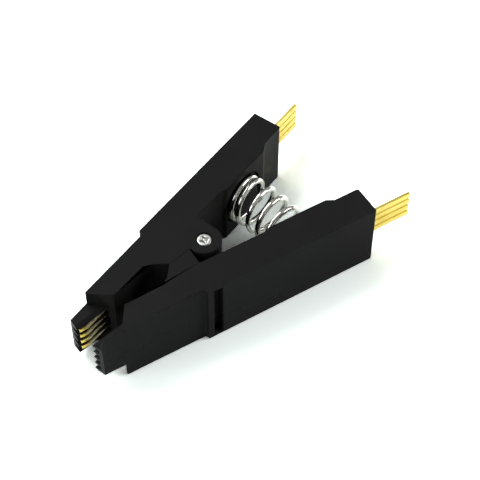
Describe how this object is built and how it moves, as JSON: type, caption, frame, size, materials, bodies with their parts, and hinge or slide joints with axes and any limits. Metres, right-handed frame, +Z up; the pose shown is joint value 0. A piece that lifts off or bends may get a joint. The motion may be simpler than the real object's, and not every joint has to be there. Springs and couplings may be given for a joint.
{
  "type": "ic test clip",
  "caption": "Spring-loaded test clip that grips a small-outline chip between two combs of gold contacts and brings each lead out to a rear pin.",
  "frame": {"origin": "on the resting surface, under the middle of the clip's box; the pivot axis stands 3.71 mm in front of it", "axes": "-Y out of the jaws, +Y out of the handles' pin ends, +Z up along the pivot axis, left handle at -X"},
  "size_m": [0.0242, 0.049, 0.0107],
  "materials": {
    "moulded_handle": "satin black glass-filled moulding",
    "gold_contact": "gold plated, bright",
    "spring_wire": "bright nickel-plated wire",
    "screw_metal": "zinc-plated steel"
  },
  "bodies": {
    "left_half": {"left_handle": "moulded_handle", "left_contact_1": "gold_contact", "left_contact_2": "gold_contact", "left_contact_3": "gold_contact", "left_contact_4": "gold_contact", "coil_spring": "spring_wire"},
    "right_half": {"right_handle": "moulded_handle", "right_contact_1": "gold_contact", "right_contact_2": "gold_contact", "right_contact_3": "gold_contact", "right_contact_4": "gold_contact", "pivot_screw": "screw_metal", "pivot_nut": "screw_metal"}
  },
  "joints": [
    {"name": "jaw_pivot", "type": "hinge", "parent": "left_half", "child": "right_half", "pos_m": [0, -0.00371, 0.00534], "axis": [0, 0, 1], "range_deg": [0, 18], "stiffness_Nm_per_rad": 0.12, "springref_deg": -14.32, "deforming": ["coil_spring"]}
  ]
}
